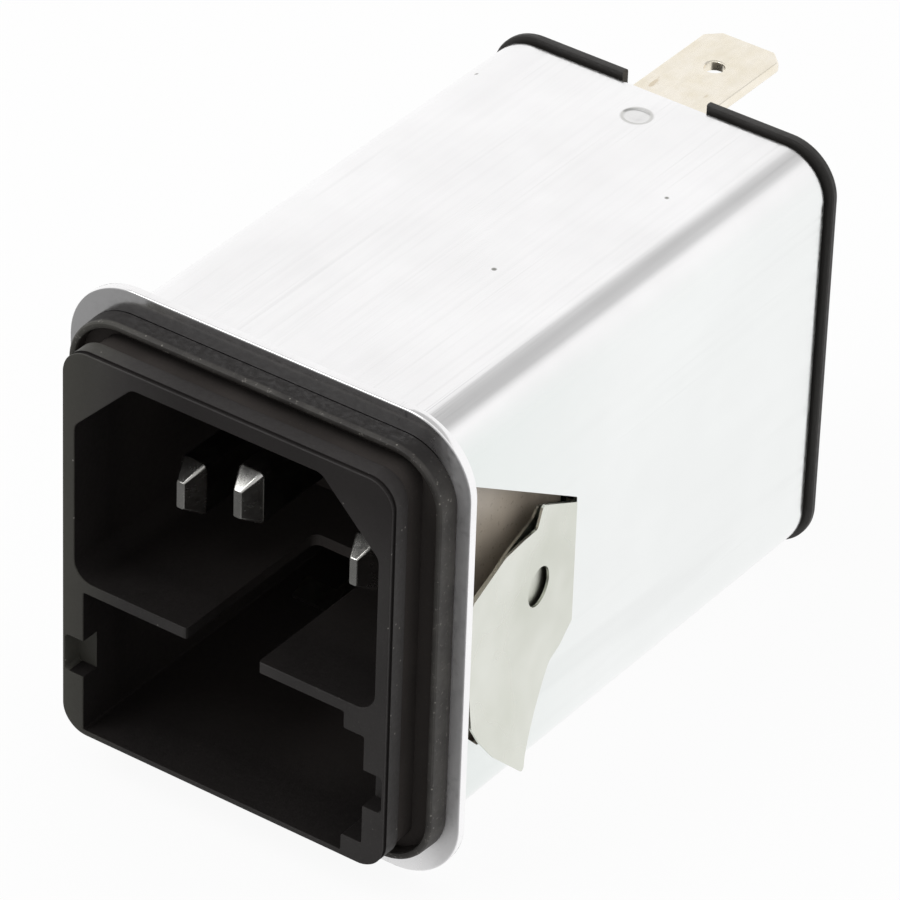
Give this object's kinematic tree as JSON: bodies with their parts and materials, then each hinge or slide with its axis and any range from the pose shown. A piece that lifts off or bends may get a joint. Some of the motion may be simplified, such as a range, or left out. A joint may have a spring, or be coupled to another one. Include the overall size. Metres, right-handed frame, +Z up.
{
  "type": "filtered power entry module",
  "caption": "Snap-in mains inlet above an empty fuse drawer bay, in a flanged metal can with sprung side ears and quick-connect tabs at its closed rear.",
  "frame": {"origin": "centre of the overall box in plan, at the level of the flange's lower edge", "axes": "+Y from the front face to the rear, +Z up, +X to the right seen from the front"},
  "size_m": [0.0332, 0.0592, 0.036],
  "materials": {
    "black_plastic": "satin black moulding with fine specks",
    "tinned_steel": "bright tin plate, faintly brushed along its depth",
    "cover_plastic": "satin black moulding",
    "tinned_brass": "pale tinned blade",
    "nickel_plate": "bright nickel",
    "tinned_copper": "tinned strip",
    "spring_bronze": "plain spring strip",
    "spring_steel": "plated spring sheet, slightly warm",
    "green_laminate": "glass laminate",
    "ferrite": "matt ferrite",
    "enamelled_wire": "clear enamel on copper",
    "yellow_case": "moulded case",
    "blue_coating": "dipped coating",
    "resistor_body": "lacquered body",
    "line_insulation": "wire insulation",
    "neutral_insulation": "wire insulation"
  },
  "bodies": {
    "module": {"front_housing": "black_plastic", "shield_can": "tinned_steel", "rear_cover": "cover_plastic", "earth_tab": "tinned_brass", "line_tab": "tinned_brass", "neutral_tab": "tinned_brass", "line_pin": "nickel_plate", "neutral_pin": "nickel_plate", "earth_pin": "nickel_plate", "earth_strap": "tinned_copper", "fuse_clip_line_front": "spring_bronze", "fuse_clip_line_rear": "spring_bronze", "fuse_clip_neutral_front": "spring_bronze", "fuse_clip_neutral_rear": "spring_bronze", "circuit_board": "green_laminate", "choke_core": "ferrite", "choke_winding_line": "enamelled_wire", "choke_winding_neutral": "enamelled_wire", "x_capacitor": "yellow_case", "y_capacitor_line": "blue_coating", "y_capacitor_neutral": "blue_coating", "bleed_resistor": "resistor_body", "line_lead_in": "line_insulation", "line_lead_out": "line_insulation", "neutral_lead_in": "neutral_insulation", "neutral_lead_out": "neutral_insulation"},
    "ear_right": {"snap_ear_right": "spring_steel"},
    "ear_left": {"snap_ear_left": "spring_steel"}
  },
  "joints": [
    {"name": "ear_right_flex", "type": "hinge", "parent": "module", "child": "ear_right", "pos_m": [0.01282, -0.0078, 0.01722], "axis": [0, 0, -1], "range_deg": [0, 8.5], "stiffness_Nm_per_rad": 0.3, "springref_deg": -1.72},
    {"name": "ear_left_flex", "type": "hinge", "parent": "module", "child": "ear_left", "pos_m": [-0.01282, -0.0078, 0.01722], "axis": [0, 0, 1], "range_deg": [0, 8.5], "stiffness_Nm_per_rad": 0.3, "springref_deg": -1.72}
  ]
}
